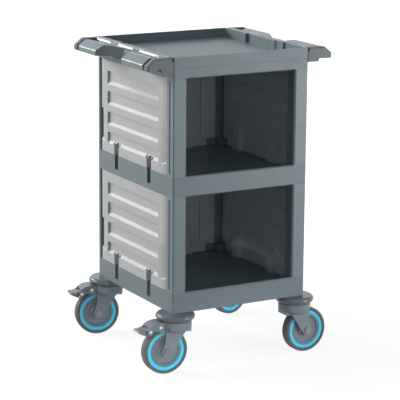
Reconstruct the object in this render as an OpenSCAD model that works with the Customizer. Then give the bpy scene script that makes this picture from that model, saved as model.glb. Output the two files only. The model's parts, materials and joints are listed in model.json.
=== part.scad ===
// Enclosed meal tray cart: three moulded decks on corner posts, two bays that are open at
// the front and closed with lift-out panels on the other sides, a handle on each end of the
// top tray, and four swivel casters, two of them braked.
// Millimetres. +Z is up, the open front faces -Y, and the wheels stand on z = 0.

/* [Body] */
// Width of the body, left to right, without the handles
body_w = 406; // [380:1:440]
// Depth of the body, front to back
body_d = 442; // [420:1:480]
// Height of the base deck's underside above the floor
base_z = 164; // [158:1:176]
// Height of the shelf bands
band_h = 55; // [50:1:64]
// Clear height of each bay, band to band
bay_h = 257; // [230:1:300]
// Height of the frame under the top tray
top_frame_h = 28; // [24:1:34]
// Height of the top tray
top_tray_h = 29; // [25:1:36]
// Radius of the decks' upright corners
corner_r = 4; // [2:0.5:6]

/* [Decks] */
// Thickness of the decks' outer skirts
skirt_t = 4; // [3:0.5:6]
// Thickness of the decks' floors
floor_t = 4; // [3:0.5:6]
// How far a shelf floor lies below its band's top edge
floor_drop = 20; // [14:1:24]
// Height of the raised field on a shelf's floor, where the trays stand
pad_t = 1; // [0.6:0.1:2]
// Thickness of the front lip of a shelf
front_lip = 6; // [5:0.5:9]
// Bevel along the front edges of the openings
lip_bevel = 3; // [1:0.5:4]
// Height of the stiffening ribs under the decks
rib_h = 8; // [5:0.5:12]
// Thickness of those ribs
rib_t = 2.4; // [2:0.2:4]
// Side of the corner blocks that carry the posts and casters
block_s = 40; // [38:1:44]
// Depth of the top tray's basin
basin_h = 26; // [20:1:26]
// Width of the top tray's rim along the sides
side_rim = 8; // [7:0.5:12]
// Width of the top tray's rim along the front and back
end_rim = 6; // [5:0.5:10]
// Radius of the basin's corners
basin_r = 10; // [6:1:16]
// How far the swelling behind each hand cut-out stands into the basin
bulge_t = 4; // [3:0.5:6]
// Width of the notches in the basin's side walls
rim_notch_w = 32; // [18:1:38]
// Distance of the rim notches from the middle, front one then back one
rim_notch_at = [-120, 75];
// Height of the shadow line under the top tray
reveal = 0.6; // [0.4:0.1:1.5]

/* [Posts] */
// Width of a post across the front or the back
post_w = 40; // [36:1:40]
// Depth of a front post along the side
post_leg = 36; // [30:1:40]
// Thickness of posts and panels
wall_t = 12; // [11:0.5:14]
// Width of the flute in a front post
flute_w = 9; // [6:0.5:10]
// Depth of that flute
flute_t = 1.8; // [1:0.2:2.4]
// Bevel on a front post's inner front edge
post_bevel = 4; // [2:0.5:5]
// Width of the channel in the inner face of the rear posts
channel_w = 15; // [10:1:16]
// Depth of that channel
channel_t = 6; // [4:0.5:7]
// Diameter of the tie rods
rod_d = 5; // [4:0.5:6]
// Radial clearance of the tie rods in their bores
rod_gap = 0.2; // [0.1:0.05:0.3]
// Distance of the tie rods from the body's sides
rod_in_x = 33; // [31:0.5:34]
// Width across flats of the tie rods' nuts
nut_af = 8; // [7:0.5:9]
// Height of those nuts
nut_h = 4; // [3:0.5:4.5]

/* [Panels] */
// Gap between a panel and the posts beside it
panel_gap = 0.8; // [0.4:0.1:1.5]
// Gap between a panel's top and the deck above it
panel_head = 0.8; // [0.4:0.1:1.5]
// Thickness of a panel's skin with its outer relief
skin_t = 7; // [6.5:0.25:8]
// Width of the frame round a panel's inner side
frame_w = 9; // [7:0.5:12]
// Number of recessed fields in a panel
field_n = 4; // [3:1:4]
// Distance from one field to the next
field_pitch = 56.5; // [50:0.5:58]
// Height of a field
field_h = 37; // [30:1:40]
// Depth of a field
field_t = 6.4; // [5:0.2:7]
// How far a field's back stands proud on the inner side
field_raise = 3.5; // [2.5:0.1:4]
// Height of the sloping ledge under a field
field_lip = 8; // [5:0.5:9]
// Distance of the fields from the panel's ends
field_in = 46; // [42:1:55]
// Distance of the first field from the panel's top
field_top = 29; // [26:1:36]
// Corner radius of the fields
field_r = 4; // [3:0.5:8]
// Height of the plain sill along a panel's foot
sill_h = 26; // [22:1:30]
// Width of each of the two facets along a panel's upright edges
facet_w = 12; // [9:0.5:14]
// Depth of the first facet
facet_t = 1.7; // [1:0.1:2.2]
// Depth of both facets together, at the edge
facet_end_t = 5.1; // [3.5:0.1:5.5]
// Width of the rounded finger holds in a panel's upright edges
scoop_w = 44; // [36:1:45]
// Depth of the finger holds at the edge
scoop_t = 9.8; // [8:0.2:10]
// Height of the finger holds' upper end above the panel's foot
scoop_top = 119; // [105:1:125]
// Width of the full-thickness border at a panel's upright edges
border_w = 46; // [45:1:50]

/* [Hooks] */
// Distance of the hooks from a panel's ends
hook_in = 100; // [90:1:110]
// Width of the pocket in a panel above each slot
pocket_w = 26; // [22:1:28]
// Radius of the rounded sill ends beside a pocket
pocket_r = 8; // [4:0.5:9]
// Depth of the pocket
pocket_t = 26; // [20:1:27]
// Wall round the pocket on the panel's inner side
boss_wall = 4; // [3:0.2:5]
// Height of the pocket's straight sides
pocket_h = 21; // [18:1:24]
// Height of the straight sides of the boss round the pocket
boss_h = 27; // [25:1:31]
// Height of the pointed end of the boss above its straight sides
boss_point = 17; // [14:1:20]
// Height of the wider block at the boss's foot
boss_foot = 15; // [10:1:20]
// Width of the slots in the bands
slot_w = 19; // [16:1:20]
// Height of those slots
slot_h = 40; // [34:1:44]
// Depth of those slots
slot_t = 8; // [6:0.5:9]
// Gap between a hook and the shelf's rim and floor
hook_gap = 0.5; // [0.3:0.1:1]
// Thickness of the flange along a panel's foot, behind the shelf's rim
flange_t = 3; // [2:0.5:4]

/* [Handles] */
// How far a handle stands out from the body
grip_out = 74; // [68:1:80]
// Width of the slotted strip beside the tray
strip_w = 17; // [15:1:19]
// Overall height of a handle
handle_h = 38.5; // [36:0.5:42]
// Length of the front grip
front_grip = 150; // [135:1:160]
// Length of the rear grip
rear_grip = 135; // [125:1:145]
// How far a front grip's inner end slants towards the hand cut-out
grip_slant = 35; // [20:1:42]
// How far a rear grip's inner end slants towards the hand cut-out
rear_slant = 54; // [44:1:60]
// Distance of the grips' crest from the body
crest_x = 52; // [48:1:56]
// Bevel round the end caps' faces
cap_bevel = 3; // [1:0.5:4]
// Length of the full end caps of a handle
cap_l = 22; // [16:1:28]
// Width of the vent slots in the strip
vent_w = 3.6; // [2:0.2:5]
// Length of the vent slots
vent_l = 12; // [8:0.5:14]
// Distance from one vent slot to the next
vent_pitch = 16; // [12:0.5:18]
// Width of the bevel on the strip's outer edge
shoulder_w = 3.4; // [2:0.2:4]
// Height of that bevel
shoulder_h = 5; // [3:0.5:6]
// Width of the groove between a grip and the end cap
groove_w = 9; // [6:0.5:12]
// Depth of that groove
groove_t = 3; // [2:0.5:4]
// Depth of the vent slots
vent_t = 3; // [2:0.5:5]
// Diameter of the handle screws
screw_d = 5; // [4:0.5:6]
// Distance of the handle screws from the middle of the cut-out
screw_at = 18; // [12:1:22]
// Distance of the handle screws below the top of the tray
screw_drop = 13; // [12:0.5:16]
// How far the handle screws reach into the tray's wall
screw_in = 8; // [6:0.5:9]

/* [Casters] */
// Diameter of the wheels
wheel_d = 125; // [115:1:127]
// Width of the tyres
tyre_w = 28; // [26:1:30]
// Radius of the tyres' shoulders
tyre_r = 5; // [2:0.5:6]
// Distance of the swivel axes from the body's faces
caster_in = 18; // [17:0.5:19]
// Distance from a swivel axis to its wheel axis
trail = 32; // [29:1:35]
// Thickness of the tyres
tread_t = 9; // [7.5:0.5:10.5]
// Width of the coloured ring round a wheel's hub, from its inner to its outer edge
ring_w = 9.5; // [8:0.5:12]
// Diameter of the wheel axle
axle_d = 12; // [10:0.5:14]
// Diameter of the axle's caps
cap_d = 19; // [17:0.5:22]
// Radial running clearance on axles, stems and pedal pins
run_gap = 0.06; // [0.02:0.01:0.1]
// Gap between the hub and the fork's legs
side_gap = 0.4; // [0.2:0.1:1]
// Thickness of the fork's legs
leg_t = 5; // [4:0.5:6]
// Room inside the fork beside the tyre
leg_room = 3; // [2:0.5:4]
// Room between the tyre and the fork's crown
crown_room = 4; // [3:0.5:4.5]
// Diameter of the bumper discs
bumper_d = 105; // [96:1:112]
// Thickness of the bumper discs
bumper_h = 18; // [16:0.5:19]
// Diameter of a fork's head
head_d = 88; // [80:1:94]
// Height of the round-edged hood below a fork's head
hood_h = 15; // [8:1:18]
// Gap between a bumper disc and the fork's head
head_gap = 1; // [0.6:0.1:1.5]
// Diameter of the caster stems
stem_d = 16; // [14:0.5:18]
// Length of the stems inside the base deck
stem_l = 42; // [36:1:44]
// Direction of each caster's trail: front left, front right, rear left, rear right
caster_turn = [176.6, 0.9, 169.7, 12];

/* [Brakes] */
// Distance of a pedal's pivot from the swivel axis
pivot_u = 81; // [79:0.5:83]
// Height of that pivot above the wheel's axis
pivot_rise = 60.5; // [59:0.5:62]
// Height of the rivet in the fork's tail above the wheel's axis
rivet_rise = 69.5; // [68:0.5:70.5]
// Distance of a pedal's tip from the swivel axis
tip_u = 113.5; // [108:0.5:118]
// Gap between a pedal's cam and the tyre when the pedal is down
brake_gap = 0.4; // [0.3:0.1:1]
// Angle that a pedal swings down
brake_swing = 26; // [20:1:30]
// Diameter of a pedal's pin
pin_d = 5; // [4:0.5:6]
// Width of a pedal's lever between the cheeks
lever_w = 29; // [24:0.5:30]
// Width of a pedal's tread
tread_w = 40; // [34:1:42]
// Corner radius of a pedal's tread
tread_r = 6; // [3:0.5:8]

/* [Hidden] */
$fn = 64;
e = 0.01;
far = 600;

// Colours of the mouldings and the metal
slate = [0.42, 0.49, 0.52];
light_grey = [0.75, 0.75, 0.75];
caster_grey = [0.36, 0.39, 0.43];
ring_blue = [0.16, 0.68, 0.84];
tyre_grey = [0.26, 0.26, 0.27];
steel = [0.7, 0.7, 0.72];

// Heights of the decks
base_top = base_z + band_h;
mid_z = base_top + bay_h;
mid_top = mid_z + band_h;
frame_z = mid_top + bay_h;
tray_z = frame_z + top_frame_h;
top_z = tray_z + top_tray_h;

// Half sizes of the body, and the casters' places
hx = body_w / 2;
hy = body_d / 2;
caster_x = hx - caster_in;
caster_y = hy - caster_in;
wheel_r = wheel_d / 2;
ring_d = wheel_d - 2 * tread_t;
hub_d = ring_d - 2 * ring_w;
// How far a tyre and a tread reach past the swivel axis when turned by an angle
function tyre_reach(a) = (trail + wheel_r - tyre_r) * cos(a) + (tyre_w / 2 - tyre_r) * abs(sin(a)) + tyre_r;
function tread_reach(a) = (tip_u - tread_r) * -cos(a) + (tread_w / 2 - tread_r) * abs(sin(a)) + tread_r;
left_reach = caster_x + max(tread_reach(caster_turn[0]), tread_reach(caster_turn[2]));
right_reach = max(hx + grip_out, caster_x + tyre_reach(caster_turn[1]), caster_x + tyre_reach(caster_turn[3]));
shift_x = (left_reach - right_reach) / 2;
// Signs of the four corners: front left, front right, rear left, rear right
corners = [[-1, -1], [1, -1], [-1, 1], [1, 1]];

// Panels: the bays' openings that they fill
panel_h = bay_h - panel_head;
side_panel_l = body_d - post_leg - wall_t - 2 * panel_gap;
side_panel_y = (post_leg - wall_t) / 2;
back_panel_l = body_w - 2 * post_w - 2 * panel_gap;
boss_w = pocket_w + 2 * boss_wall;
boss_t = pocket_t + boss_wall;
flange_in = block_s - wall_t + 1;
scoop_r = (scoop_w * scoop_w + scoop_t * scoop_t) / (2 * scoop_t);

// The hand cut-out's middle, and the ends of the basin wall's swelling behind it
cut_mid = (-hy + front_grip + grip_slant + hy - rear_grip - rear_slant) / 2;
bulge_y0 = -hy + front_grip;
bulge_y1 = bulge_y0 + 195;

// Tie rods
rod_foot_z = base_top - 2 * floor_drop;
nut_z = tray_z - nut_h - 2;

// Casters: heights above the floor
fork_in = tyre_w / 2 + leg_room;
fork_out = fork_in + leg_t;
bumper_z = base_z - bumper_h;
head_top = bumper_z - head_gap;
bearing_r = 19;
bearing_rise = head_gap - 0.3;
bearing_t = 4;
// The ledge in a fork's head that rests on the stem's head
ledge_z = head_top - bearing_t - 5;
head_foot = wheel_d + crown_room;
stem_head_r = stem_d / 2 + 4;
stem_head_t = 4;
crown_r = wheel_r + crown_room;
pivot_z = wheel_r + pivot_rise;
rivet_u = trail + 20;
rivet_z = wheel_r + rivet_rise;
// A pedal's cam: its reach from the pin, and its direction when released
cam_l = norm([pivot_u - trail, pivot_rise]) - wheel_r - brake_gap;
cam_rest = atan2(-pivot_rise, trail - pivot_u) + brake_swing;

// ---- helpers ----

module rounded(w, d, r) {
    square([w - 2 * r, d], center = true);
    square([w, d - 2 * r], center = true);
    for (sx = [-1, 1], sy = [-1, 1])
        translate([sx * (w / 2 - r), sy * (d / 2 - r)]) circle(r);
}

module block(x0, x1, y0, y1, z0, z1) {
    translate([x0, y0, z0]) cube([x1 - x0, y1 - y0, z1 - z0]);
}

// Draws a piece of the right side, or its mirror image on the left
module at_side(s) {
    if (s < 0) mirror([1, 0, 0]) children();
    else children();
}

// Extrudes a drawing of x and z from y0 to y1
module along_y(y0, y1) {
    translate([0, y1, 0]) rotate([90, 0, 0]) linear_extrude(y1 - y0) children();
}

// Extrudes a drawing of y and z from x0 to x1
module along_x(x0, x1) {
    translate([x0, 0, 0]) rotate([90, 0, 90]) linear_extrude(x1 - x0) children();
}

module at_body() {
    translate([shift_x, 0, 0]) children();
}

// ---- decks ----

function rod_spots() = [for (c = corners) [c[0] * (hx - rod_in_x), c[1] * (hy - wall_t / 2)]];

// Places of the hooks along a panel of length l, measured from its middle
function hook_spots(l) = [-(l / 2 - hook_in), l / 2 - hook_in];

module corner_squares(s) {
    for (c = corners)
        translate([c[0] * (hx - s / 2), c[1] * (hy - s / 2)]) square(s, center = true);
}

// A grid of ribs under a floor whose underside is at z
module rib_grid(z) {
    for (k = [-1, 0, 1]) {
        block(k * hx / 2 - rib_t / 2, k * hx / 2 + rib_t / 2, -hy + skirt_t - e, hy - skirt_t + e, z - rib_h, z + e);
        block(-hx + skirt_t - e, hx - skirt_t + e, k * hy / 2 - rib_t / 2, k * hy / 2 + rib_t / 2, z - rib_h, z + e);
    }
}

module band_slots(top) {
    low = top - slot_h;
    for (s = [-1, 1], y = hook_spots(side_panel_l))
        block(s * hx - slot_t, s * hx + slot_t, side_panel_y + y - slot_w / 2, side_panel_y + y + slot_w / 2, low, top + 1);
    for (x = hook_spots(back_panel_l))
        block(x - slot_w / 2, x + slot_w / 2, hy - slot_t, hy + slot_t, low, top + 1);
}

module rod_bores(z0, z1) {
    for (p = rod_spots())
        translate([p[0], p[1], z0]) cylinder(h = z1 - z0, d = rod_d + 2 * rod_gap);
}

// A bevel along the front edge of an opening: up is 1 below it and -1 above it
module opening_lip(z, up) {
    along_x(-hx + post_w, hx - post_w)
        polygon([[-hy - 1, z - up * (lip_bevel + 1)], [-hy + lip_bevel + 1, z + up], [-hy - 1, z + up]]);
}

// A shelf: outer band, sunk floor with corner blocks, ribbed and open below
module shelf_deck(z, under) {
    floor_z = z + band_h - floor_drop;
    inner_h = band_h - floor_drop - floor_t;
    difference() {
        translate([0, 0, z]) linear_extrude(band_h) rounded(body_w, body_d, corner_r);
        difference() {
            translate([0, 0, floor_z]) linear_extrude(floor_drop + 1) difference() {
                translate([0, (front_lip - wall_t) / 2])
                    rounded(body_w - 2 * wall_t, body_d - front_lip - wall_t, 3);
                corner_squares(block_s);
            }
            translate([0, 0, floor_z - 1]) linear_extrude(pad_t + 1)
                rounded(body_w - 2 * boss_t - 4, body_d - 2 * block_s - 4, 4);
        }
        difference() {
            translate([0, 0, z - 1]) linear_extrude(inner_h + 1) difference() {
                square([body_w - 2 * skirt_t, body_d - 2 * skirt_t], center = true);
                corner_squares(block_s);
            }
            rib_grid(z + inner_h);
        }
        band_slots(z + band_h);
        opening_lip(z + band_h, 1);
        if (under) opening_lip(z, -1);
    }
}

module base_deck() {
    color(slate) at_body() difference() {
        shelf_deck(base_z, false);
        rod_bores(rod_foot_z, base_top + 1);
        for (c = corners)
            translate([c[0] * caster_x, c[1] * caster_y, base_z - 1])
                cylinder(h = stem_l + 1, d = stem_d + 2 * rod_gap);
    }
}

module mid_deck() {
    color(slate) at_body() difference() {
        shelf_deck(mid_z, true);
        rod_bores(mid_z - 1, mid_top + 1);
    }
}

// The frame under the top tray, open below between its ribs
module top_frame() {
    inner_h = top_frame_h - floor_t;
    color(slate) at_body() difference() {
        translate([0, 0, frame_z]) linear_extrude(top_frame_h) rounded(body_w, body_d, corner_r);
        difference() {
            translate([0, 0, frame_z - 1]) linear_extrude(inner_h + 1) difference() {
                square([body_w - 2 * skirt_t, body_d - 2 * skirt_t], center = true);
                corner_squares(block_s);
            }
            rib_grid(frame_z + inner_h);
        }
        opening_lip(frame_z, -1);
        rod_bores(frame_z - 1, tray_z + 1);
        for (p = rod_spots())
            translate([p[0], p[1], nut_z]) cylinder(h = nut_h + 3, r = nut_af / 2 / cos(30) + 0.3);
    }
}

module top_tray() {
    basin_z = top_z - basin_h;
    color(slate) at_body() difference() {
        union() {
            translate([0, 0, tray_z + reveal]) linear_extrude(top_tray_h - reveal) rounded(body_w, body_d, corner_r);
            translate([0, 0, tray_z]) linear_extrude(reveal + e)
                rounded(body_w - 2 * reveal, body_d - 2 * reveal, corner_r);
        }
        difference() {
            translate([0, 0, basin_z]) linear_extrude(basin_h + 1)
                rounded(body_w - 2 * side_rim, body_d - 2 * end_rim, basin_r);
            for (s = [-1, 1]) basin_bulge(s, basin_z);
        }
        for (s = [-1, 1]) at_side(s) {
            for (y = rim_notch_at)
                block(hx - side_rim - bulge_t - 1, hx - 3, y - rim_notch_w / 2, y + rim_notch_w / 2, basin_z, top_z + 1);
            screw_holes(hx - screw_in - 0.5, screw_d + 0.1);
        }
    }
}

// The swelling of the basin's side wall behind the hand cut-out, with slanted ends
module basin_bulge(s, z) {
    inner = hx - side_rim;
    at_side(s) translate([0, 0, z - 1]) linear_extrude(basin_h)
        polygon([[inner + 1, bulge_y0], [inner, bulge_y0], [inner - bulge_t, bulge_y0 + 6],
            [inner - bulge_t, bulge_y1 - 6], [inner, bulge_y1], [inner + 1, bulge_y1]]);
}

// ---- posts ----

module front_post(s, z) {
    color(slate) at_body() at_side(s) difference() {
        translate([0, 0, z]) linear_extrude(bay_h) difference() {
            union() {
                translate([hx - post_w, -hy]) square([post_w - corner_r, post_leg]);
                translate([hx - post_w, -hy + corner_r]) square([post_w, post_leg - corner_r]);
                translate([hx - corner_r, -hy + corner_r]) circle(corner_r);
            }
            translate([hx - post_w, -hy]) rotate(45) square(post_bevel * sqrt(2), center = true);
            translate([hx - rod_in_x, -hy + wall_t / 2]) circle(d = rod_d + 2 * rod_gap);
        }
        flute(z);
    }
}

// A flute with round ends in the outer side of a front post
module flute(z) {
    y = -hy + 14 + flute_w / 2;
    low = z + 6 + flute_w / 2;
    high = z + bay_h - 6 - flute_w / 2;
    block(hx - flute_t, hx + 1, y - flute_w / 2, y + flute_w / 2, low, high);
    for (h = [low, high])
        translate([hx - flute_t, y, h]) rotate([0, 90, 0]) cylinder(h = flute_t + 1, d = flute_w);
}

module rear_post(s, z) {
    color(slate) at_body() at_side(s) translate([0, 0, z]) linear_extrude(bay_h) difference() {
        union() {
            translate([hx - post_w, hy - wall_t]) square([post_w - corner_r, wall_t]);
            translate([hx - post_w, hy - wall_t]) square([post_w, wall_t - corner_r]);
            translate([hx - corner_r, hy - corner_r]) circle(corner_r);
        }
        translate([hx - wall_t - channel_w, hy - wall_t - 1]) square([channel_w, channel_t + 1]);
        translate([hx - rod_in_x, hy - wall_t / 2]) circle(d = rod_d + 2 * rod_gap);
    }
}

module lower_post_front_left() { front_post(-1, base_top); }
module lower_post_front_right() { front_post(1, base_top); }
module lower_post_rear_left() { rear_post(-1, base_top); }
module lower_post_rear_right() { rear_post(1, base_top); }
module upper_post_front_left() { front_post(-1, mid_top); }
module upper_post_front_right() { front_post(1, mid_top); }
module upper_post_rear_left() { rear_post(-1, mid_top); }
module upper_post_rear_right() { rear_post(1, mid_top); }

// Four rods through the posts, from the base deck to the nuts under the top tray
module tie_rods() {
    color(steel) at_body() for (p = rod_spots())
        translate([p[0], p[1], rod_foot_z]) cylinder(h = tray_z - 1 - rod_foot_z, d = rod_d);
}

module tie_rod_nuts() {
    color(steel) at_body() for (p = rod_spots())
        translate([p[0], p[1], nut_z]) difference() {
            linear_extrude(nut_h) circle(r = nut_af / 2 / cos(30), $fn = 6);
            translate([0, 0, -1]) cylinder(h = nut_h + 2, d = rod_d + 2 * run_gap);
        }
}

// ---- panels ----

// Upper and lower edge of field k, counted from the top
function field_hi(k) = panel_h - field_top - k * field_pitch;
function field_lo(k) = max(field_hi(k) - field_h, sill_h);

// A panel in the x-z plane: y = 0 is its outer face, z = 0 its foot
module panel(l) {
    half = l / 2;
    color(light_grey) difference() {
        union() {
            block(-half, half, 0, skin_t, 0, panel_h);
            difference() {
                block(-half, half, 0, wall_t, 0, panel_h);
                block(-half + border_w, half - border_w, skin_t, wall_t + 1, frame_w, panel_h - frame_w);
            }
            for (k = [0:field_n - 1]) field_back(l, k);
            for (x = hook_spots(l)) translate([x, 0, 0]) hook_boss();
            block(-half + flange_in, half - flange_in, wall_t - 1, wall_t + hook_gap + flange_t, 0, flange_t);
            block(-half + flange_in, half - flange_in, wall_t + hook_gap, wall_t + hook_gap + flange_t,
                -floor_drop + hook_gap, e);
        }
        for (k = [0:field_n - 1]) field_recess(l, k);
        for (x = hook_spots(l)) translate([x, 0, 0]) hook_pocket();
        for (s = [-1, 1]) at_side(s) {
            finger_hold(half);
            translate([0, 0, -1]) linear_extrude(panel_h + 2)
                polygon([[half - 2 * facet_w, 0], [half - 2 * facet_w, -1], [half + 1, -1],
                    [half + 1, facet_end_t], [half, facet_end_t], [half - facet_w, facet_t]]);
        }
    }
}

// A rounded finger hold in the upright edge at x = half, ending on the sill's slope
module finger_hold(half) {
    skip = sqrt(0.2 * scoop_r);
    intersection() {
        linear_extrude(scoop_top) difference() {
            translate([half - scoop_w + skip, -1]) square([scoop_w + 1, wall_t]);
            translate([half - scoop_w, scoop_r]) circle(scoop_r, $fn = 192);
        }
        along_x(half - scoop_w, half + 2)
            polygon([[-2, sill_h], [0, sill_h], [wall_t, sill_h + wall_t * field_lip / field_t],
                [wall_t, scoop_top], [-2, scoop_top]]);
    }
}

// One recessed field with a sloping ledge below and round corners
module field_recess(l, k) {
    z0 = field_lo(k);
    z1 = field_hi(k);
    intersection() {
        along_x(-l / 2, l / 2)
            polygon([[-1, z0], [0, z0], [field_t, z0 + field_lip], [field_t, z1 - 1.5], [0, z1], [-1, z1]]);
        along_y(-1, field_t + 1) translate([0, (z0 + z1) / 2]) rounded(l - 2 * field_in, z1 - z0, field_r);
    }
}

// The raised back of a field
module field_back(l, k) {
    z0 = field_lo(k);
    z1 = field_hi(k);
    along_y(1, skin_t + field_raise) translate([0, (z0 + z1) / 2])
        rounded(l - 2 * field_in - 6, z1 - z0 - 6, field_r);
}

// The pointed boss behind a pocket, with the hook that drops behind the shelf's rim
module hook_boss() {
    half = boss_w / 2;
    along_y(skin_t - 1, boss_t - 1.2)
        polygon([[1.5 - half, 0], [half - 1.5, 0], [half - 1.5, boss_h], [half - 5, boss_h + boss_point * 0.5],
            [half - 11, boss_h + boss_point * 0.85], [0, boss_h + boss_point], [11 - half, boss_h + boss_point * 0.85],
            [5 - half, boss_h + boss_point * 0.5], [1.5 - half, boss_h]]);
    block(-half, half, skin_t - 1, boss_t, 0, boss_foot);
    block(-half, half, wall_t + hook_gap, boss_t, -floor_drop + hook_gap, e);
}

module hook_pocket() {
    along_y(-1, pocket_t) {
        translate([-pocket_w / 2, -1]) square([pocket_w, pocket_h + 1]);
        translate([0, pocket_h]) circle(pocket_w / 2);
    }
    along_y(-1, field_t - 0.5) for (s = [-1, 1])
        difference() {
            translate([s * (pocket_w + pocket_r - 1) / 2, sill_h + field_lip])
                square([pocket_r + 1, 2 * pocket_r + 2 * field_lip], center = true);
            translate([s * (pocket_w / 2 + pocket_r), sill_h - pocket_r + 1]) circle(pocket_r);
        }
}

module left_place(z) {
    at_body() translate([-hx, side_panel_y, z]) rotate([0, 0, -90]) children();
}
module right_place(z) {
    at_body() translate([hx, side_panel_y, z]) rotate([0, 0, 90]) children();
}
module back_place(z) {
    at_body() translate([0, hy, z]) rotate([0, 0, 180]) children();
}

module lower_panel_left() { left_place(base_top) panel(side_panel_l); }
module lower_panel_right() { right_place(base_top) panel(side_panel_l); }
module lower_panel_back() { back_place(base_top) panel(back_panel_l); }
module upper_panel_left() { left_place(mid_top) panel(side_panel_l); }
module upper_panel_right() { right_place(mid_top) panel(side_panel_l); }
module upper_panel_back() { back_place(mid_top) panel(back_panel_l); }

// ---- handles ----

// Section of a grip: x outwards from the body, y up to the tray's top at 0
module grip_section() {
    polygon([[strip_w - 1, -8], [46, -1.5], [53, -1], [grip_out - 3, -14.8], [grip_out, -19], [grip_out, -31.5],
        [40, -31.5], [30, -handle_h], [strip_w - 1, -handle_h]]);
}

module cap_section() {
    polygon([[0, 0], [crest_x, 0], [grip_out, -17], [grip_out, -31.5], [40, -31.5], [30, -handle_h], [0, -handle_h]]);
}

// Plan of the two grips, with the hand cut-out between their slanted ends
module grip_plan() {
    y0 = -hy + front_grip;
    y1 = hy - rear_grip;
    polygon([[strip_w - 1, -hy], [grip_out + 1, -hy], [grip_out + 1, y0], [crest_x, y0], [strip_w - 1, y0 + grip_slant]]);
    polygon([[strip_w - 1, hy], [grip_out + 1, hy], [grip_out + 1, y1], [crest_x, y1 - rear_slant * 0.3],
        [crest_x / 2, y1 - rear_slant * 0.82], [strip_w - 1, y1 - rear_slant]]);
}

// A row of n slanting vent slots, the first one at y
module vents(y, n) {
    for (k = [0:n - 1])
        translate([strip_w / 2 + 0.5, y + k * vent_pitch, -vent_t / 2 + 0.5])
            rotate([0, 0, 45]) cube([vent_l, vent_w, vent_t + 1], center = true);
}

// A bevel along the strip's outer edge
module shoulder(y0, y1) {
    along_y(y0, y1) polygon([[strip_w - shoulder_w, 0], [strip_w - shoulder_w, 1], [strip_w + 1, 1],
        [strip_w + 1, -shoulder_h], [strip_w, -shoulder_h]]);
}

// The groove round a grip beside the end cap at the front (-1) or back (1)
module cap_groove(s) {
    y = s * (hy - cap_l - groove_w / 2);
    along_y(y - groove_w / 2 - (s > 0 ? 0 : 1), y + groove_w / 2 + (s > 0 ? 1 : 0)) difference() {
        translate([strip_w + 4, -handle_h - 1]) square([grip_out, handle_h + 2]);
        polygon([[strip_w, -8 - groove_t], [46, -1.5 - groove_t], [53 - groove_t, -1 - groove_t],
            [grip_out - 3 - groove_t, -15.5 - groove_t], [grip_out - groove_t, -19 - groove_t],
            [grip_out - groove_t, -31.5 + groove_t], [40, -31.5 + groove_t], [30, -handle_h + groove_t],
            [strip_w, -handle_h + groove_t]]);
    }
}

module handle(s) {
    color(slate) at_body() at_side(s) difference() {
        translate([hx, 0, top_z]) difference() {
            union() {
                block(0, strip_w, -hy + cap_l, hy - cap_l, -handle_h, 0);
                intersection() {
                    along_y(-hy + cap_l, hy - cap_l) grip_section();
                    translate([0, 0, -handle_h - 1]) linear_extrude(handle_h + 2) grip_plan();
                }
            }
            vents(-hy + 54, 7);
            vents(cut_mid - vent_pitch, 5);
            vents(hy - 46 - 4 * vent_pitch, 5);
            shoulder(-hy + 2.3 * cap_l, -hy + front_grip + 0.45 * grip_slant);
            shoulder(cut_mid - shoulder_w * 6, cut_mid + 4.4 * vent_pitch);
            shoulder(hy - 5.1 * cap_l, hy - cap_l + 1);
            for (s = [-1, 1]) cap_groove(s);
        }
        screw_holes(hx - 1, screw_d + 0.6);
        screw_holes(hx + strip_w - 2.5, screw_d + 4.6);
    }
}

// The full end piece at the front of a handle: bevelled, grooved beside the tray, notched below
module end_cap() {
    translate([hx, -hy, top_z]) difference() {
        along_y(0, cap_l) cap_section();
        block(-1, 4, -1, cap_l + 1, -10, 1);
        along_x(-1, grip_out + 1) polygon([[-1, 1], [-1, -cap_bevel - 1], [cap_bevel + 1, 1]]);
        translate([grip_out, 0, 0]) rotate([0, 0, 45])
            cube([cap_bevel * sqrt(2), cap_bevel * sqrt(2), far], center = true);
        for (y = [0, cap_l])
            translate([crest_x, y, 0]) rotate([0, atan2(17, grip_out - crest_x), 0]) rotate([45, 0, 0])
                cube([far, cap_bevel * sqrt(2), cap_bevel * sqrt(2)], center = true);
        translate([41.5, -1, -handle_h + 3]) rotate([-90, 0, 0]) cylinder(h = 7, r = 8);
    }
}

module end_caps(s) {
    color(slate) at_body() at_side(s) {
        end_cap();
        mirror([0, 1, 0]) end_cap();
    }
}

module screw_holes(x, d) {
    for (y = [-screw_at, screw_at])
        translate([x, cut_mid + y, top_z - screw_drop]) rotate([0, 90, 0]) cylinder(h = 40, d = d);
}

module handle_left() { handle(-1); }
module handle_right() { handle(1); }
module end_caps_left() { end_caps(-1); }
module end_caps_right() { end_caps(1); }

// Two pan-head screws in each hand cut-out, into the tray's thick wall
module handle_screws() {
    color(steel) at_body() for (s = [-1, 1]) at_side(s) for (y = [-screw_at, screw_at])
        translate([hx - screw_in, cut_mid + y, top_z - screw_drop]) rotate([0, 90, 0]) difference() {
            union() {
                cylinder(h = screw_in + strip_w - 2.5 + e, d = screw_d);
                translate([0, 0, screw_in + strip_w - 2.5]) cylinder(h = 2, d = screw_d + 4);
            }
            translate([0, 0, screw_in + strip_w - 1.8]) linear_extrude(3) circle(r = 1.8, $fn = 6);
        }
}

// ---- casters ----

// Draws a caster's moving parts at corner i: the trail along +X, the wheel standing on z = 0
module at_caster(i) {
    at_body() translate([corners[i][0] * caster_x, corners[i][1] * caster_y, 0])
        rotate([0, 0, caster_turn[i]]) children();
}

module at_axle() {
    translate([trail, 0, wheel_r]) rotate([90, 0, 0]) children();
}

// Extrudes a drawing of the caster's side view across its middle
module across(w) {
    translate([0, w / 2, 0]) rotate([90, 0, 0]) linear_extrude(w) children();
}

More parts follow.
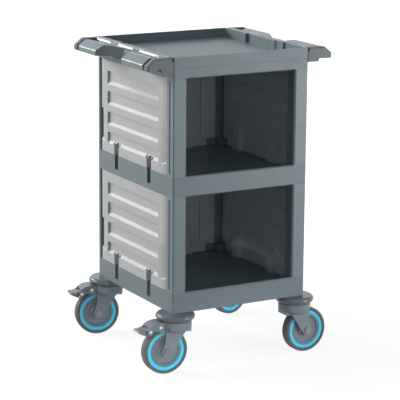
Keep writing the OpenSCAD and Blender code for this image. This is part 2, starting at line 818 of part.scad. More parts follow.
module bumper(i) {
    r = bumper_h / 2;
    color(caster_grey) at_body() translate([corners[i][0] * caster_x, corners[i][1] * caster_y, bumper_z])
        difference() {
            rotate_extrude($fn = 96) {
                square([bumper_d / 2 - r, bumper_h]);
                translate([bumper_d / 2 - r, r]) intersection() {
                    circle(r);
                    translate([-e, -r]) square([r + e, 2 * r]);
                }
            }
            translate([0, 0, -1]) cylinder(h = bumper_h + 2, d = stem_d + 2 * run_gap);
        }
}

// Stems pressed into the base deck, with heads that carry the forks
module caster_stems() {
    color(steel) at_body() for (c = corners) translate([c[0] * caster_x, c[1] * caster_y, 0]) {
        translate([0, 0, ledge_z - 0.3 - stem_head_t]) cylinder(h = stem_head_t, r = stem_head_r);
        translate([0, 0, ledge_z - 0.3 - e]) cylinder(h = base_z + stem_l - ledge_z + 0.3 + e, d = stem_d);
    }
}

module bearing(i) {
    color(steel) at_caster(i) translate([0, 0, head_top - bearing_t]) difference() {
        cylinder(h = bearing_t + bearing_rise, r = bearing_r);
        translate([0, 0, -1]) cylinder(h = bearing_t + bearing_rise + 2, d = stem_d + 2 * run_gap);
    }
}

// Side view of a fork's leg, from the head down to the axle
module leg_drawing() {
    polygon([[-38, head_foot + 1], [-37, head_foot - 16], [-20, head_foot - 16], [-8, wheel_r + 33],
        [10, wheel_r + 5], [trail - 13, wheel_r - 6], [trail, wheel_r - 2], [trail + 13.5, wheel_r + 5],
        [trail + 5, wheel_r + 24], [trail + 3, wheel_r + 48], [trail + 5, head_foot + 1]]);
    translate([trail, wheel_r]) circle(14.5);
}

// The tail of a braked fork, between the cheeks of the brake housing
module tongue_drawing() {
    polygon([[30, wheel_r + 62], [rivet_u + 8, wheel_r + 58], [rivet_u + 8, rivet_z + 4],
        [rivet_u, rivet_z + 6], [30, rivet_z + 6]]);
}

// The hood's round-edged cup below the head
module hood_cup() {
    translate([0, 0, head_foot]) rotate_extrude($fn = 96) {
        translate([0, -hood_h]) square([head_d / 2 - hood_h, hood_h + 1]);
        translate([head_d / 2 - hood_h, 0]) intersection() {
            circle(hood_h);
            translate([0, -hood_h]) square([hood_h, hood_h + 1]);
        }
    }
}

module fork(i, braked) {
    color(caster_grey) at_caster(i) difference() {
        union() {
            translate([0, 0, head_foot]) cylinder(h = head_top - head_foot - 3, d = head_d, $fn = 96);
            translate([0, 0, head_top - 3 - e]) cylinder(h = 3 + e, d1 = head_d, d2 = head_d - 6, $fn = 96);
            difference() {
                hood_cup();
                translate([30, -far / 2, 0]) cube(far);
            }
            across(2 * fork_out) leg_drawing();
            if (braked) across(2 * fork_in - 0.6) tongue_drawing();
        }
        at_axle() {
            cylinder(h = 2 * fork_in, r = crown_r, center = true, $fn = 128);
            cylinder(h = 4 * fork_out, d = axle_d, center = true);
        }
        translate([0, 0, head_foot - 40]) cylinder(h = ledge_z - head_foot + 40, r = stem_head_r + 0.4);
        translate([0, 0, ledge_z - 1]) cylinder(h = 60, d = stem_d + 2 * run_gap);
        translate([0, 0, head_top - bearing_t]) cylinder(h = 60, r = bearing_r);
        if (braked) across(4 * fork_out) translate([rivet_u, rivet_z]) circle(d = pin_d);
    }
}

// Side view of the brake housing: a cheek from the fork's leg to the pedal's pivot
module housing_drawing() {
    polygon([[trail + 5.3, wheel_r + 46], [trail + 13, wheel_r + 50.5], [trail + 20, wheel_r + 56.5],
        [pivot_u - 19, pivot_z - 1], [pivot_u - 11, pivot_z - 2], [pivot_u - 3, pivot_z - 9], [pivot_u + 5, pivot_z + 8],
        [pivot_u + 2, pivot_z + 12], [pivot_u - 11, pivot_z + 19], [trail + 24, head_top - 0.4],
        [trail + 5.3, head_top - 0.4]]);
    translate([pivot_u, pivot_z]) circle(10);
}

// The housing's inside: open below its roof and at the pedal
module housing_hollow() {
    polygon([[trail, wheel_r], [trail, head_top - 4.4], [trail + 23, head_top - 4.4], [pivot_u - 12, pivot_z + 15],
        [pivot_u + 1, pivot_z + 8], [pivot_u + 3, pivot_z + 20], [pivot_u + 40, pivot_z + 20], [pivot_u + 40, wheel_r]]);
}

module brake_housing(i) {
    color(caster_grey) at_caster(i) difference() {
        across(2 * fork_out) housing_drawing();
        across(2 * fork_in) housing_hollow();
        translate([0, 0, wheel_r]) cylinder(h = far, d = head_d + 0.6, $fn = 96);
        across(4 * fork_out) {
            translate([rivet_u, rivet_z]) circle(d = pin_d);
            translate([pivot_u, pivot_z]) circle(d = pin_d);
        }
    }
}

// A rivet through the fork's tail and the pedal's pin, both with heads on the cheeks
module brake_pins(i) {
    color(steel) at_caster(i) for (p = [[rivet_u, rivet_z], [pivot_u, pivot_z]]) {
        across(2 * fork_out + e) translate(p) circle(d = pin_d);
        for (s = [-1, 1])
            translate([p[0], s * (fork_out + 0.75), p[1]]) rotate([90, 0, 0])
                cylinder(h = 1.5, d = pin_d + 4, center = true);
    }
}

// The lever on its pin: a cam that bears on the tyre when the tread is pressed down
module lever_drawing() {
    translate([pivot_u, pivot_z]) {
        circle(6.5);
        polygon([[0, 5.5], [4, 6.3], [14, 4.5], [14, -7], [8, -9], [-2, -5]]);
        rotate(cam_rest) {
            polygon([[0, -5.5], [cam_l - 2.5, -2.4], [cam_l - 2.5, 2.4], [0, 5.5]]);
            translate([cam_l - 2.5, 0]) circle(2.5);
        }
    }
}

module tread_drawing() {
    difference() {
        translate([pivot_u, pivot_z]) polygon([[8, 8], [18, 3], [tip_u - pivot_u - 1.5, 3], [tip_u - pivot_u, 1.5],
            [tip_u - pivot_u, -0.5], [24, -5], [11, -11], [4, -13]]);
        translate([pivot_u, pivot_z]) circle(12.4);
    }
}

module pedal(i) {
    color(caster_grey) at_caster(i) difference() {
        union() {
            across(lever_w) lever_drawing();
            intersection() {
                across(tread_w) tread_drawing();
                translate([pivot_u, 0, 0]) linear_extrude(far) rounded(2 * (tip_u - pivot_u), tread_w, tread_r);
            }
        }
        across(4 * fork_out) translate([pivot_u, pivot_z]) circle(d = pin_d + 2 * run_gap);
    }
}

module axle(i) {
    color(steel) at_caster(i) at_axle() {
        cylinder(h = 2 * fork_out + e, d = axle_d, center = true);
        for (s = [-1, 1])
            translate([0, 0, s * (fork_out + 1.5)]) cylinder(h = 3, d = cap_d, center = true);
    }
}

// A hub with a boss that runs between the fork's legs, and a dished disc
module hub(i) {
    r0 = axle_d / 2 + run_gap;
    r1 = hub_d / 2;
    w = tyre_w / 2 - 3;
    b = fork_in - side_gap;
    color(caster_grey) at_caster(i) at_axle() rotate_extrude($fn = 96)
        polygon([[r0, -b], [14, -b], [15, -b + 1], [16, 2 - w], [20, 4 - w], [r1 - 9, 4 - w], [r1 - 6, -w], [r1, -w],
            [r1, w], [r1 - 6, w], [r1 - 9, w - 4], [20, w - 4], [16, w - 2], [15, b - 1], [14, b], [r0, b]]);
}

module ring(i) {
    r0 = hub_d / 2;
    r1 = ring_d / 2;
    w = tyre_w / 2 - 2;
    color(ring_blue) at_caster(i) at_axle() rotate_extrude($fn = 96)
        polygon([[r0, -w], [r1 - 1.5, -w], [r1, 1 - w], [r1, w - 1], [r1 - 1.5, w], [r0, w]]);
}

module tyre(i) {
    color(tyre_grey) at_caster(i) at_axle() rotate_extrude($fn = 96) {
        translate([ring_d / 2, -tyre_w / 2 + tyre_r]) square([wheel_r - ring_d / 2, tyre_w - 2 * tyre_r]);
        translate([ring_d / 2, -tyre_w / 2]) square([wheel_r - ring_d / 2 - tyre_r, tyre_w]);
        for (s = [-1, 1])
            translate([wheel_r - tyre_r, s * (tyre_w / 2 - tyre_r)]) intersection() {
                circle(tyre_r);
                translate([0, -tyre_r]) square([tyre_r, 2 * tyre_r]);
            }
    }
}

module bumper_front_left() { bumper(0); }
module bumper_front_right() { bumper(1); }
module bumper_rear_left() { bumper(2); }
module bumper_rear_right() { bumper(3); }
module bearing_front_left() { bearing(0); }
module bearing_front_right() { bearing(1); }
module bearing_rear_left() { bearing(2); }
module bearing_rear_right() { bearing(3); }
module fork_front_left() { fork(0, true); }
module fork_front_right() { fork(1, false); }
module fork_rear_left() { fork(2, true); }
module fork_rear_right() { fork(3, false); }
module axle_front_left() { axle(0); }
module axle_front_right() { axle(1); }
module axle_rear_left() { axle(2); }
module axle_rear_right() { axle(3); }
module hub_front_left() { hub(0); }
module hub_front_right() { hub(1); }
module hub_rear_left() { hub(2); }
module hub_rear_right() { hub(3); }
module ring_front_left() { ring(0); }
module ring_front_right() { ring(1); }
module ring_rear_left() { ring(2); }
module ring_rear_right() { ring(3); }
module tyre_front_left() { tyre(0); }
module tyre_front_right() { tyre(1); }
module tyre_rear_left() { tyre(2); }
module tyre_rear_right() { tyre(3); }
module brake_housing_front_left() { brake_housing(0); }
module brake_housing_rear_left() { brake_housing(2); }
module pedal_front_left() { pedal(0); }
module pedal_rear_left() { pedal(2); }
module brake_pins_front_left() { brake_pins(0); }
module brake_pins_rear_left() { brake_pins(2); }

base_deck();
mid_deck();
top_frame();
top_tray();
lower_post_front_left();
lower_post_front_right();
lower_post_rear_left();
lower_post_rear_right();
upper_post_front_left();
upper_post_front_right();
upper_post_rear_left();
upper_post_rear_right();
lower_panel_left();
lower_panel_right();
lower_panel_back();
upper_panel_left();
upper_panel_right();
upper_panel_back();
handle_left();
handle_right();
end_caps_left();
end_caps_right();
handle_screws();
tie_rods();
tie_rod_nuts();
caster_stems();
bumper_front_left();
bumper_front_right();
bumper_rear_left();
bumper_rear_right();
bearing_front_left();
bearing_front_right();
bearing_rear_left();
bearing_rear_right();
fork_front_left();
fork_front_right();
fork_rear_left();
fork_rear_right();
axle_front_left();
axle_front_right();
axle_rear_left();
axle_rear_right();
hub_front_left();
hub_front_right();
hub_rear_left();
hub_rear_right();
ring_front_left();
ring_front_right();
ring_rear_left();
ring_rear_right();
tyre_front_left();
tyre_front_right();
tyre_rear_left();
tyre_rear_right();
brake_housing_front_left();
brake_housing_rear_left();
pedal_front_left();
pedal_rear_left();
brake_pins_front_left();
brake_pins_rear_left();
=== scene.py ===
# An enclosed meal tray cart in moulded plastic: slate decks and posts, light grey lift-out
# panels, dark swivel casters with blue wheel rings. Metres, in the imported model's frame.
import json
import math

import bmesh
import bpy
from mathutils import Euler, Matrix, Vector


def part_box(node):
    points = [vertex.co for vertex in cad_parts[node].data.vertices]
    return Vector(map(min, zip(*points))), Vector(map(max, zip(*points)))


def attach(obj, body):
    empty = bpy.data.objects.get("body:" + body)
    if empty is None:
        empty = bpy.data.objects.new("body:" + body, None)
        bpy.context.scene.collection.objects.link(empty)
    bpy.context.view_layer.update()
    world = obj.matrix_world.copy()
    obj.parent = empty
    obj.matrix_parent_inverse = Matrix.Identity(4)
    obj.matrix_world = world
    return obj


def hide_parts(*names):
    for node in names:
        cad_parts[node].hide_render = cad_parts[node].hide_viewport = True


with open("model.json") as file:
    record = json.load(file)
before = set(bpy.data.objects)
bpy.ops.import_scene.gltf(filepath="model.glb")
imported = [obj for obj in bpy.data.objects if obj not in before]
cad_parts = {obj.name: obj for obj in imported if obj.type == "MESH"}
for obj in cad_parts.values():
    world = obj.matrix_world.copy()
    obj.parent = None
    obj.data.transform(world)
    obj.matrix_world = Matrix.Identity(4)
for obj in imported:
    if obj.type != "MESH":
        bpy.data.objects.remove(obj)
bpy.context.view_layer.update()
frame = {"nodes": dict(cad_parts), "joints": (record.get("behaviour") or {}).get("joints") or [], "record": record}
nodes = frame["nodes"]
joint_of = {joint["name"]: joint for joint in frame["joints"]}
bodies = frame["record"]["behaviour"]["bodies"]
body_of_node = {node: body for body, members in bodies.items() for node in members}
slot_of_node = {part["node"]: part["material_slot"] for part in frame["record"]["subparts"]}

BRAKED = ("front_left", "rear_left")


# ---- shader maths ----

def srgb(r, g, b):
    """A colour given in 0-255 display values, as linear RGBA."""
    def linear(c):
        c = c / 255
        return c / 12.92 if c <= 0.04045 else ((c + 0.055) / 1.055) ** 2.4
    return (linear(r), linear(g), linear(b), 1.0)


WHITE = (1, 1, 1, 1)


class Value:
    """A number that varies over the surface; maths on it adds Math nodes."""

    def __init__(self, shading, socket):
        self.shading = shading
        self.socket = socket

    def _math(self, operation, first, second):
        return self.shading.node("ShaderNodeMath", {"operation": operation}, [first, second], 0)

    def __add__(self, other):
        return self._math("ADD", self, other)

    def __radd__(self, other):
        return self._math("ADD", other, self)

    def __sub__(self, other):
        return self._math("SUBTRACT", self, other)

    def __rsub__(self, other):
        return self._math("SUBTRACT", other, self)

    def __mul__(self, other):
        return self._math("MULTIPLY", self, other)

    def __rmul__(self, other):
        return self._math("MULTIPLY", other, self)

    def clipped(self, low, high):
        """Rises from 0 at low to 1 at high."""
        return self.shading.node("ShaderNodeMapRange", {"clamp": True}, [self, low, high, 0.0, 1.0], 0)


class Shading:
    """The shader nodes of a material or of the world."""

    def __init__(self, tree):
        self.tree = tree

    def node(self, kind, settings, values, output):
        """Adds a node: its settings first, then its sockets' values or links."""
        made = self.tree.nodes.new(kind)
        for key, value in settings.items():
            setattr(made, key, value)
        pairs = values.items() if isinstance(values, dict) else enumerate(values)
        for key, value in pairs:
            if isinstance(value, Value):
                self.tree.links.new(value.socket, made.inputs[key])
            else:
                made.inputs[key].default_value = value
        return Value(self, made.outputs[output])

    def background_seen(self):
        """1 for what meets the background from the camera, a shiny face or glass, 0 for all other light."""
        camera = self.node("ShaderNodeLightPath", {}, {}, "Is Camera Ray")
        shiny = self.node("ShaderNodeLightPath", {}, {}, "Is Glossy Ray")
        glass = self.node("ShaderNodeLightPath", {}, {}, "Is Transmission Ray")
        return (camera + shiny + glass).clipped(0, 1)


class Finish(Shading):
    """A material under construction around one Principled shader."""

    def __init__(self, name):
        self.material = bpy.data.materials.new(name)
        self.material.use_nodes = True
        super().__init__(self.material.node_tree)
        self.shader = self.tree.nodes["Principled BSDF"]
        self.place = self.node("ShaderNodeTexCoord", {}, {}, "Object")

    def noise(self, scale, detail=3.0, roughness=0.55, stretch=None):
        """Noise on the piece's own coordinates, scale in waves per metre."""
        place = self.place
        if stretch:
            place = self.node("ShaderNodeMapping", {}, {"Vector": place, "Scale": stretch}, 0)
        return self.node("ShaderNodeTexNoise", {}, {"Vector": place, "Scale": scale, "Detail": detail,
                                                    "Roughness": roughness}, "Fac")

    def mix(self, factor, a, b):
        """A colour between a and b."""
        return self.node("ShaderNodeMix", {"data_type": "RGBA"}, {0: factor, 6: a, 7: b}, 2)

    def feed(self, name, value):
        """Sets an input of the Principled shader to a number or a colour, or links it."""
        socket = self.shader.inputs[name]
        if isinstance(value, Value):
            self.tree.links.new(value.socket, socket)
        else:
            socket.default_value = value

    def bump(self, height, strength, distance):
        self.feed("Normal", self.node("ShaderNodeBump", {}, {"Strength": strength, "Distance": distance,
                                                              "Height": height}, 0))


# ---- finishes ----

def moulded_plastic(name, colour, worn, dusty, roughness, grain=1500, grain_depth=0.00006):
    """Moulded plastic: fine spark-eroded grain, slight clouding, rubbed spots and a little dust."""
    f = Finish(name)
    clouds = f.noise(scale=9, detail=4)
    rubbed = f.noise(scale=55, detail=6, roughness=0.7).clipped(low=0.56, high=0.75)
    dust = f.noise(scale=21, detail=5, roughness=0.6).clipped(low=0.45, high=0.85)
    scuffs = f.noise(scale=240, roughness=0.6, stretch=(1.0, 1.0, 0.12)).clipped(low=0.66, high=0.8)
    shade = f.mix(clouds * 0.5, srgb(*colour), srgb(*worn))
    shade = f.mix(dust * 0.25, shade, srgb(*dusty))
    shade = f.mix(scuffs * rubbed * 0.4, shade, srgb(*worn))
    f.feed("Base Color", shade)
    f.feed("Roughness", roughness - 0.1 * rubbed + 0.08 * dust + 0.05 * scuffs)
    coarse_grain = f.noise(grain * 0.4, detail=2)
    f.bump(f.noise(grain, detail=2, roughness=0.5) + 0.6 * coarse_grain, strength=0.35, distance=grain_depth)
    return f.material


def rubber(name, colour, dusty):
    """Grey tyre rubber, dustier and rougher where it rolls."""
    f = Finish(name)
    dust = f.noise(scale=60, detail=6, roughness=0.7).clipped(low=0.4, high=0.8)
    f.feed("Base Color", f.mix(dust * 0.5, srgb(*colour), srgb(*dusty)))
    f.feed("Roughness", 0.62 + 0.2 * dust)
    f.bump(f.noise(scale=900, roughness=0.6), strength=0.5, distance=0.00012)
    return f.material


def metal(name, colour, dull):
    """Bright or painted steel with fine turning marks and dull patches, in linear colours."""
    f = Finish(name)
    patches = f.noise(scale=80, detail=5, roughness=0.6)
    f.feed("Base Color", f.mix(patches, colour, dull))
    f.feed("Metallic", 0.9 - 0.1 * patches.clipped(low=0.6, high=0.8))
    f.feed("Roughness", 0.28 + 0.22 * patches)
    turning_marks = f.noise(scale=2200, detail=2, roughness=0.5, stretch=(1.0, 1.0, 0.2))
    f.bump(turning_marks, strength=0.2, distance=0.00003)
    return f.material


slate = moulded_plastic("slate_plastic", colour=(109, 125, 132), worn=(122, 137, 144), dusty=(130, 140, 145),
                        roughness=0.45)
panel_grey = moulded_plastic("panel_plastic", colour=(196, 201, 204), worn=(206, 211, 213),
                             dusty=(189, 191, 191), roughness=0.46)
caster_grey = moulded_plastic("caster_plastic", colour=(118, 127, 138), worn=(132, 140, 150),
                              dusty=(134, 137, 141), roughness=0.34, grain=1100)
bumper_grey = moulded_plastic("bumper_plastic", colour=(96, 105, 115), worn=(110, 118, 128),
                              dusty=(120, 124, 128), roughness=0.24, grain=1100)
ring_blue = moulded_plastic("wheel_ring_blue", colour=(66, 218, 255), worn=(100, 226, 255),
                            dusty=(88, 200, 236), roughness=0.3, grain=1300, grain_depth=0.00003)
tyre_rubber = rubber("tyre_rubber", colour=(94, 94, 99), dusty=(112, 110, 109))
post_slate = moulded_plastic("post_plastic", colour=(121, 138, 145), worn=(132, 148, 154),
                             dusty=(138, 148, 152), roughness=0.45)
# the end caps' plastic is a darker copy of the deck plastic: painted shade on the caps
cap_painted_shade = moulded_plastic("cap_plastic_painted_shade", colour=(98, 110, 116), worn=(110, 121, 127), dusty=(120, 128, 132),
                            roughness=0.5)
handle_slate = moulded_plastic("handle_plastic", colour=(112, 128, 136), worn=(124, 140, 147),
                               dusty=(132, 142, 147), roughness=0.3, grain=1900)
hub_grey = moulded_plastic("hub_plastic", colour=(110, 123, 133), worn=(120, 131, 139), dusty=(126, 132, 136),
                           roughness=0.4, grain=1200)
# the forks' plastic is a lighter copy of the caster plastic: painted light where the bumpers shade the forks
fork_painted_light = moulded_plastic("fork_plastic_painted_light", colour=(122, 135, 146), worn=(133, 145, 154),
                            dusty=(136, 142, 148), roughness=0.36, grain=1100)
zinc_steel = metal("zinc_steel", colour=(0.62, 0.63, 0.65, 1), dull=(0.42, 0.43, 0.45, 1))
grey_steel = metal("painted_steel", colour=(0.2, 0.215, 0.235, 1), dull=(0.15, 0.16, 0.17, 1))

SLOT_FINISHES = {"deck_plastic": slate, "panel_plastic": panel_grey, "caster_plastic": caster_grey,
                 "wheel_ring": ring_blue, "tyre": tyre_rubber, "zinc_steel": zinc_steel}
# pieces from other batches of their slot's plastic, and the painted axle caps; the forks' lighter plastic is
# painted light and the end caps' darker plastic is painted shade
OWN_FINISHES = {"bumper_": bumper_grey, "_post_": post_slate, "hub_": hub_grey, "fork_": fork_painted_light,
                "axle_": grey_steel, "handle_left": handle_slate, "handle_right": handle_slate,
                "end_caps": cap_painted_shade}


def finish_of(node):
    """The finish of a node: its own kind's where it has one, or else its slot's."""
    for part, finish in OWN_FINISHES.items():
        if part in node:
            return finish
    return SLOT_FINISHES[slot_of_node[node]]


# ---- moulded pieces: the CAD solids with their edges rounded as a mould leaves them ----

MERGE_WITHIN = 2e-6
FLAT_WITHIN = math.radians(0.6)
SHARP_FROM = math.radians(32)
ROUNDING_STEPS = 2
FLAT_FACE_WEIGHT = 50
ROUNDING = {"deck": 0.0009, "top": 0.0009, "post": 0.001, "panel": 0.0018, "handle": 0.0012,
            "end_caps": 0.0012, "fork": 0.0012, "brake_housing": 0.0012, "pedal": 0.0008, "hub": 0.0007,
            "ring": 0.0006, "tyre": 0.001, "bumper": 0.001}


def plain_mesh(piece):
    """The piece's mesh with its modifiers worked in."""
    return bpy.data.meshes.new_from_object(piece.evaluated_get(bpy.context.evaluated_depsgraph_get()))


def placed(name, data):
    """A new object in the scene for a mesh, a lamp or a camera."""
    thing = bpy.data.objects.new(name, data)
    bpy.context.scene.collection.objects.link(thing)
    return thing


def rounded_piece(node, width):
    """A copy of a node's mesh with rounded edges, which stands for the node."""
    mesh = bpy.data.meshes.new(node + "_moulded")
    bm = bmesh.new()
    bm.from_mesh(nodes[node].data)
    bmesh.ops.remove_doubles(bm, verts=bm.verts, dist=MERGE_WITHIN)
    bmesh.ops.dissolve_limit(bm, angle_limit=FLAT_WITHIN, verts=bm.verts, edges=bm.edges)
    bm.to_mesh(mesh)
    bm.free()
    mesh.materials.clear()
    mesh.materials.append(finish_of(node))
    for face in mesh.polygons:
        face.use_smooth = True
        face.material_index = 0
    piece = placed(node + "_moulded", mesh)
    rounding = piece.modifiers.new("rounding", "BEVEL")
    rounding.width = width
    rounding.segments = ROUNDING_STEPS
    rounding.limit_method = "ANGLE"
    rounding.angle_limit = SHARP_FROM
    rounding.use_clamp_overlap = True
    # large faces stay flat right up to their rounded edges
    flat = piece.modifiers.new("flat_faces", "WEIGHTED_NORMAL")
    flat.mode = "FACE_AREA"
    flat.weight = FLAT_FACE_WEIGHT
    rounded = plain_mesh(piece)
    piece.modifiers.clear()
    piece.data = rounded
    bpy.data.meshes.remove(mesh)
    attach(piece, body_of_node[node])
    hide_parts(node)


for name in nodes:
    nodes[name].data.materials.clear()
    nodes[name].data.materials.append(finish_of(name))
    if slot_of_node[name] != "zinc_steel":
        rounded_piece(name, next(width for part, width in ROUNDING.items() if part in name))


# ---- rows of small repeated features, made with Geometry Nodes ----

def row_tree(name):
    """Sets a template piece on evenly spaced points of a line."""
    tree = bpy.data.node_groups.new(name, "GeometryNodeTree")
    tree.is_modifier = True
    face = tree.interface
    face.new_socket("Geometry", in_out="INPUT", socket_type="NodeSocketGeometry")
    for label, kind in (("Template", "NodeSocketObject"), ("Count", "NodeSocketInt"),
                        ("Start", "NodeSocketVector"), ("Step", "NodeSocketVector"),
                        ("Finish", "NodeSocketMaterial")):
        face.new_socket(label, in_out="INPUT", socket_type=kind)
    face.new_socket("Geometry", in_out="OUTPUT", socket_type="NodeSocketGeometry")
    given = tree.nodes.new("NodeGroupInput")
    result = tree.nodes.new("NodeGroupOutput")
    line = tree.nodes.new("GeometryNodeMeshLine")
    line.mode = "OFFSET"
    template = tree.nodes.new("GeometryNodeObjectInfo")
    spread = tree.nodes.new("GeometryNodeInstanceOnPoints")
    solid = tree.nodes.new("GeometryNodeRealizeInstances")
    finish = tree.nodes.new("GeometryNodeSetMaterial")
    link = tree.links.new
    link(given.outputs["Template"], template.inputs["Object"])
    link(given.outputs["Count"], line.inputs["Count"])
    link(given.outputs["Start"], line.inputs["Start Location"])
    link(given.outputs["Step"], line.inputs["Offset"])
    link(line.outputs["Mesh"], spread.inputs["Points"])
    link(template.outputs["Geometry"], spread.inputs["Instance"])
    link(spread.outputs["Instances"], solid.inputs["Geometry"])
    link(solid.outputs["Geometry"], finish.inputs["Geometry"])
    link(given.outputs["Finish"], finish.inputs["Material"])
    link(finish.outputs["Geometry"], result.inputs["Geometry"])
    return tree


def row_of(tree, name, template, count, start, step, slot, body):
    """A plain mesh of count templates, riding on a body."""
    piece = placed(name, bpy.data.meshes.new(name))
    row = piece.modifiers.new("row", "NODES")
    row.node_group = tree
    ids = {item.name: item.identifier for item in tree.interface.items_tree if item.in_out == "INPUT"}
    row[ids["Template"]] = template
    row[ids["Count"]] = count
    row[ids["Start"]] = tuple(start)
    row[ids["Step"]] = tuple(step)
    row[ids["Finish"]] = SLOT_FINISHES[slot]
    made = plain_mesh(piece)
    piece.modifiers.remove(row)
    piece.data = made
    for face in made.polygons:
        face.use_smooth = True
    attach(piece, body)


def turned(name, profile, steps, turn):
    """A turned piece that a row repeats; profile is (radius, height) pairs, turn gives its direction."""
    bm = bmesh.new()
    rings = []
    for radius, height in profile:
        if radius == 0:
            rings.append([bm.verts.new(turn @ Vector((0, 0, height)))])
            continue
        angles = [2 * math.pi * k / steps for k in range(steps)]
        rim = [Vector((radius * math.cos(angle), radius * math.sin(angle), height)) for angle in angles]
        rings.append([bm.verts.new(turn @ point) for point in rim])
    for low, high in zip(rings, rings[1:]):
        for k in range(steps):
            j = (k + 1) % steps
            corners = [low[k % len(low)], low[j % len(low)], high[j % len(high)], high[k % len(high)]]
            bm.faces.new(list(dict.fromkeys(corners)))
    mesh = bpy.data.meshes.new(name)
    bmesh.ops.recalc_face_normals(bm, faces=bm.faces)
    bm.to_mesh(mesh)
    bm.free()
    return placed(name, mesh)


def remove_template(template):
    """Deletes a piece that a row has repeated."""
    mesh = template.data
    bpy.data.objects.remove(template)
    bpy.data.meshes.remove(mesh)


# grip ribs across a pedal's tread: places are measured outwards and upwards from the pedal's pin
RIB_COUNT = 4
RIB_PITCH = 0.0032
FIRST_RIB_OUT = 0.0195
RIB_UP = 0.0031
RIB_RADIUS = 0.0009
RIB_END_RADIUS = 0.0006
RIB_HALF_LENGTH = 0.0165
RIB_ROUND_END = 0.0005
RIB_SIDES = 10
RIB_PROFILE = [(0, -RIB_HALF_LENGTH), (RIB_END_RADIUS, -RIB_HALF_LENGTH),
               (RIB_RADIUS, RIB_ROUND_END - RIB_HALF_LENGTH), (RIB_RADIUS, RIB_HALF_LENGTH - RIB_ROUND_END),
               (RIB_END_RADIUS, RIB_HALF_LENGTH), (0, RIB_HALF_LENGTH)]

# domed rivet heads on both cheeks of a brake housing: one above the wheel, one on the pedal's pin
RIVET_BEHIND_STEM = 0.052
RIVET_HEIGHT = 0.132
CHEEK_OUT = 0.0235
DOME_SIDES = 20
DOME_PROFILE = [(0, 0.0011), (0.0016, 0.001), (0.0029, 0.0006), (0.0038, 0), (0.0038, -0.0005), (0, -0.0005)]

rows = row_tree("evenly_spaced_row")
templates = []
for corner in BRAKED:
    stem = Vector(joint_of["swivel_turn_" + corner]["pos_m"])
    axle = Vector(joint_of["wheel_roll_" + corner]["axis"]).normalized()
    pin = Vector(joint_of["pedal_press_" + corner]["pos_m"])
    trail = Vector((axle.y, -axle.x, 0))
    up = Vector((0, 0, 1))
    caster_turn = Matrix((trail, axle, up)).transposed()
    rib = turned("tread_rib_" + corner, RIB_PROFILE, RIB_SIDES,
                 caster_turn @ Matrix.Rotation(math.radians(-90), 3, "X"))
    templates.append(rib)
    row_of(rows, "pedal_grip_ribs_" + corner, rib, RIB_COUNT, pin + trail * FIRST_RIB_OUT + up * RIB_UP,
           trail * RIB_PITCH, "caster_plastic", "lever_" + corner)
    for side, way in (("outer", 1), ("inner", -1)):
        dome = turned(f"rivet_dome_{side}_{corner}", DOME_PROFILE, DOME_SIDES,
                      caster_turn @ Matrix.Rotation(math.radians(-90 * way), 3, "X"))
        templates.append(dome)
        cheek = axle * way * CHEEK_OUT
        on_housing = Vector((stem.x, stem.y, RIVET_HEIGHT)) + trail * RIVET_BEHIND_STEM + cheek
        on_pin = pin + cheek
        row_of(rows, f"rivet_domes_{side}_{corner}", dome, 2, on_housing, on_pin - on_housing, "zinc_steel",
               "swivel_" + corner)
for template in templates:
    remove_template(template)


# ---- moulded pockets that close the slots of the decks from behind ----

SLOTS_MIDDLE_Y = 0.012
SIDE_SLOT_SPREAD = 0.0962
BACK_SLOT_SPREAD = 0.0622
POCKET_WALL = 0.0018
POCKET_HALF_WIDTH = 0.0095
SKIRT_WALL = 0.004
POCKET_DEPTH = 0.008
POCKET_FOOT = 0.015
POCKET_TOP = 0.031


def slot_places(deck):
    """The foot of each slot's face on a deck's outside, with the direction inwards."""
    low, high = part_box(deck)
    places = []
    for y in (SLOTS_MIDDLE_Y - SIDE_SLOT_SPREAD, SLOTS_MIDDLE_Y + SIDE_SLOT_SPREAD):
        places.append((Vector((low.x, y, low.z)), Vector((1, 0, 0))))
        places.append((Vector((high.x, y, low.z)), Vector((-1, 0, 0))))
    for x in (-BACK_SLOT_SPREAD, BACK_SLOT_SPREAD):
        places.append((Vector(((low.x + high.x) / 2 + x, high.y, low.z)), Vector((0, -1, 0))))
    return places


def add_wall(bm, place, inward, across, deep, high):
    """A block by a slot; across, deep and high each give where it starts and ends."""
    along = Vector((-inward.y, inward.x, 0))
    up = Vector((0, 0, 1))
    size = along * (across[1] - across[0]) + inward * (deep[1] - deep[0]) + up * (high[1] - high[0])
    middle = place + along * sum(across) / 2 + inward * sum(deep) / 2 + up * sum(high) / 2
    scale = Matrix.Diagonal((abs(size.x), abs(size.y), abs(size.z), 1))
    bmesh.ops.create_cube(bm, size=1, matrix=Matrix.Translation(middle) @ scale)


def slot_pockets(deck):
    """Thin walls behind and beside each slot of a deck, which close it off from the ribs below the floor."""
    half, outer_half = POCKET_HALF_WIDTH, POCKET_HALF_WIDTH + POCKET_WALL
    beside = (SKIRT_WALL, POCKET_DEPTH)
    behind = (POCKET_DEPTH, POCKET_DEPTH + POCKET_WALL)
    full_height = (POCKET_FOOT - POCKET_WALL, POCKET_TOP)
    bm = bmesh.new()
    for place, inward in slot_places(deck):
        add_wall(bm, place, inward, (-outer_half, outer_half), behind, full_height)
        add_wall(bm, place, inward, (-outer_half, -half), beside, full_height)
        add_wall(bm, place, inward, (half, outer_half), beside, full_height)
        add_wall(bm, place, inward, (-half, half), beside, (POCKET_FOOT - POCKET_WALL, POCKET_FOOT))
    mesh = bpy.data.meshes.new("slot_pockets_" + deck)
    bmesh.ops.recalc_face_normals(bm, faces=bm.faces)
    bm.to_mesh(mesh)
    bm.free()
    mesh.materials.append(finish_of(deck))
    piece = placed("slot_pockets_" + deck, mesh)
    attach(piece, body_of_node[deck])


slot_pockets("base_deck")
slot_pockets("mid_deck")


# ---- stage, light and camera ----

FLOOR_REACH = 9.0
SWEEP_START = 3.2
SWEEP_RADIUS = 2.2
SWEEP_STEPS = 12
BACKDROP_TOP = 7.0
BELOW_TYRES = 0.0002
STAGE_HEADING = math.radians(-29)


